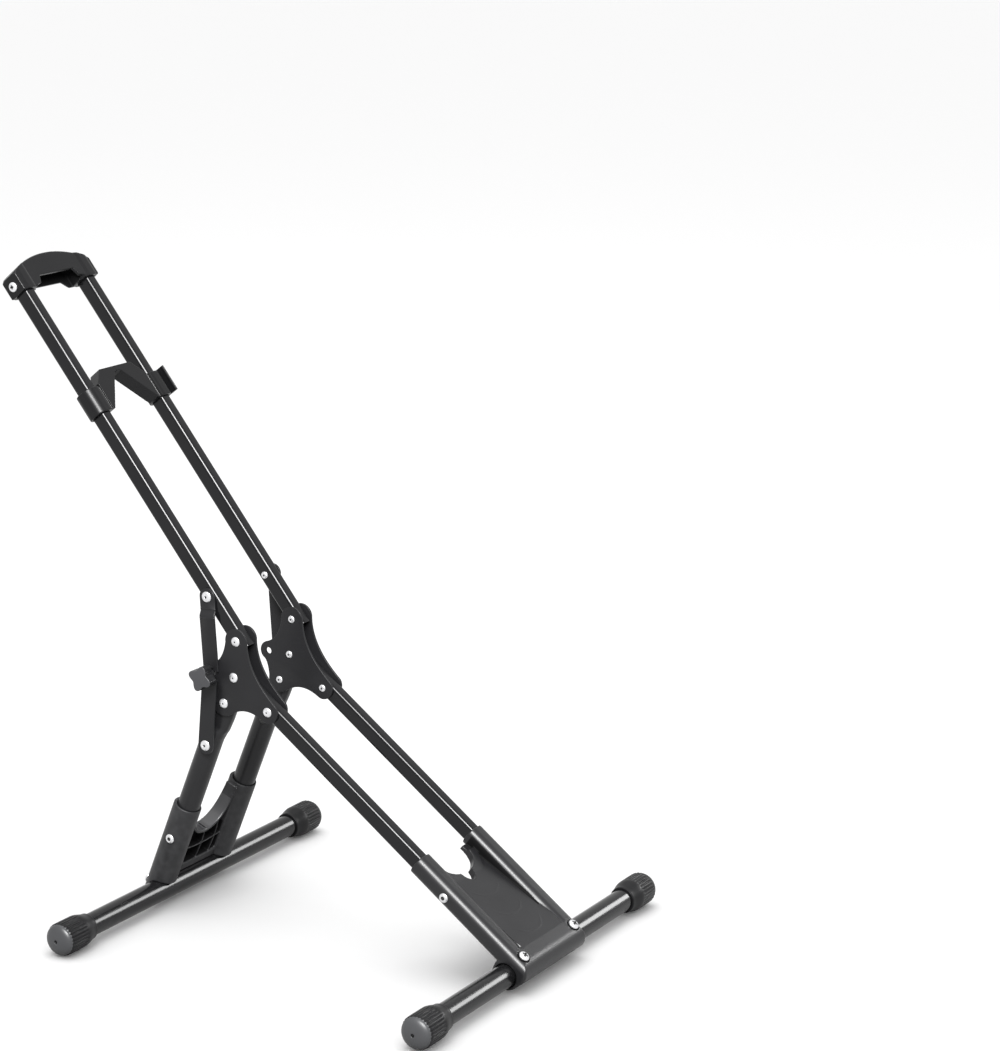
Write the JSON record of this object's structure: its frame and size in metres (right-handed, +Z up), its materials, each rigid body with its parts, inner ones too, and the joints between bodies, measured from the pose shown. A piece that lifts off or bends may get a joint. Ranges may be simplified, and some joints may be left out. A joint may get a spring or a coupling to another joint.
{
  "type": "bicycle floor stand",
  "caption": "Folding bicycle floor stand: sloping lower and upper rail pairs hold a wheel between a notched front shoe and a sliding yoke, on tubular feet with ribbed rubber ends.",
  "frame": {"origin": "on the floor, under the middle of the stand's bounding box", "axes": "+Z up; +X to the side with the clamp lever, along the foot tubes; -Y towards the front foot, where the wheel's lowest point sits"},
  "size_m": [0.429, 0.5902, 0.6195],
  "materials": {
    "gloss_black_paint": "gloss",
    "satin_black_paint": "satin",
    "plate_black_paint": "satin",
    "moulded_black_plastic": "fine moulded satin",
    "black_rubber": "matt, ribbed",
    "zinc_plated_steel": "bright plated",
    "knob_grey_plastic": "moulded satin"
  },
  "bodies": {
    "base": {"lower_rail_left": "gloss_black_paint", "lower_rail_right": "gloss_black_paint", "gusset_left_outer": "plate_black_paint", "gusset_left_inner": "plate_black_paint", "gusset_right_outer": "plate_black_paint", "gusset_right_inner": "plate_black_paint", "rivet_pivot_upper_left": "zinc_plated_steel", "rivet_pivot_upper_right": "zinc_plated_steel", "rivet_fixed_upper_left": "zinc_plated_steel", "rivet_fixed_upper_right": "zinc_plated_steel", "rivet_pivot_leg_left": "zinc_plated_steel", "rivet_pivot_leg_right": "zinc_plated_steel", "rivet_fixed_lower_left": "zinc_plated_steel", "rivet_fixed_lower_right": "zinc_plated_steel", "rivet_shoe_left": "zinc_plated_steel", "rivet_shoe_right": "zinc_plated_steel", "front_shoe": "moulded_black_plastic", "front_tube": "gloss_black_paint", "cap_front_left": "black_rubber", "cap_front_right": "black_rubber", "front_screw_left": "zinc_plated_steel", "front_screw_right": "zinc_plated_steel", "knob_bolt_left": "zinc_plated_steel", "knob_bolt_right": "zinc_plated_steel"},
    "upper_frame": {"upper_rail_left": "gloss_black_paint", "upper_rail_right": "gloss_black_paint", "handle": "moulded_black_plastic", "handle_screw_left": "zinc_plated_steel", "handle_screw_right": "zinc_plated_steel", "rivet_strap_top_left": "zinc_plated_steel", "rivet_strap_top_right": "zinc_plated_steel"},
    "rest": {"tyre_rest": "moulded_black_plastic", "lever_pin": "zinc_plated_steel"},
    "lever": {"clamp_lever": "moulded_black_plastic"},
    "legs": {"leg_left": "satin_black_paint", "leg_right": "satin_black_paint", "rear_shoe": "moulded_black_plastic", "rear_tube": "gloss_black_paint", "cap_rear_left": "black_rubber", "cap_rear_right": "black_rubber", "rear_screw_left": "zinc_plated_steel", "rear_screw_right": "zinc_plated_steel", "rivet_socket_left": "zinc_plated_steel", "rivet_socket_right": "zinc_plated_steel", "rivet_strap_low_left": "zinc_plated_steel", "rivet_strap_low_right": "zinc_plated_steel"},
    "knob_body_left": {"knob_left": "knob_grey_plastic"},
    "strap_upper_body_left": {"strap_upper_left": "plate_black_paint"},
    "strap_lower_body_left": {"strap_lower_left": "plate_black_paint"},
    "knob_body_right": {"knob_right": "knob_grey_plastic"},
    "strap_upper_body_right": {"strap_upper_right": "plate_black_paint"},
    "strap_lower_body_right": {"strap_lower_right": "plate_black_paint"}
  },
  "joints": [
    {"name": "upper_fold", "type": "hinge", "parent": "base", "child": "upper_frame", "pos_m": [0, 0.02231, 0.285], "axis": [1, 0, 0], "range_deg": [0, 165]},
    {"name": "leg_fold", "type": "hinge", "parent": "base", "child": "legs", "pos_m": [0, 0.03721, 0.2224], "axis": [1, 0, 0], "range_deg": [-76, 0]},
    {"name": "rest_slide", "type": "slide", "parent": "upper_frame", "child": "rest", "axis": [0, 0.6284, 0.7779], "range_m": [-0.09, 0.095]},
    {"name": "lever_open", "type": "hinge", "parent": "rest", "child": "lever", "pos_m": [0.0599, 0.19208, 0.48595], "axis": [0, 0.6284, 0.7779], "range_deg": [0, 100]},
    {"name": "knob_turn_left", "type": "hinge", "parent": "base", "child": "knob_body_left", "pos_m": [-0.066, 0.04981, 0.2496], "axis": [1, 0, 0], "continuous": true},
    {"name": "strap_upper_swing_left", "type": "hinge", "parent": "upper_frame", "child": "strap_upper_body_left", "pos_m": [-0.0539, 0.05471, 0.3236], "axis": [1, 0, 0], "range_deg": [0, 145]},
    {"name": "strap_lower_swing_left", "type": "hinge", "parent": "legs", "child": "strap_lower_body_left", "pos_m": [-0.0589, 0.05631, 0.1786], "axis": [1, 0, 0], "range_deg": [-140, 0]},
    {"name": "knob_turn_right", "type": "hinge", "parent": "base", "child": "knob_body_right", "pos_m": [0.066, 0.04981, 0.2496], "axis": [1, 0, 0], "continuous": true},
    {"name": "strap_upper_swing_right", "type": "hinge", "parent": "upper_frame", "child": "strap_upper_body_right", "pos_m": [0.0539, 0.05471, 0.3236], "axis": [1, 0, 0], "range_deg": [0, 145]},
    {"name": "strap_lower_swing_right", "type": "hinge", "parent": "legs", "child": "strap_lower_body_right", "pos_m": [0.0589, 0.05631, 0.1786], "axis": [1, 0, 0], "range_deg": [-140, 0]}
  ]
}
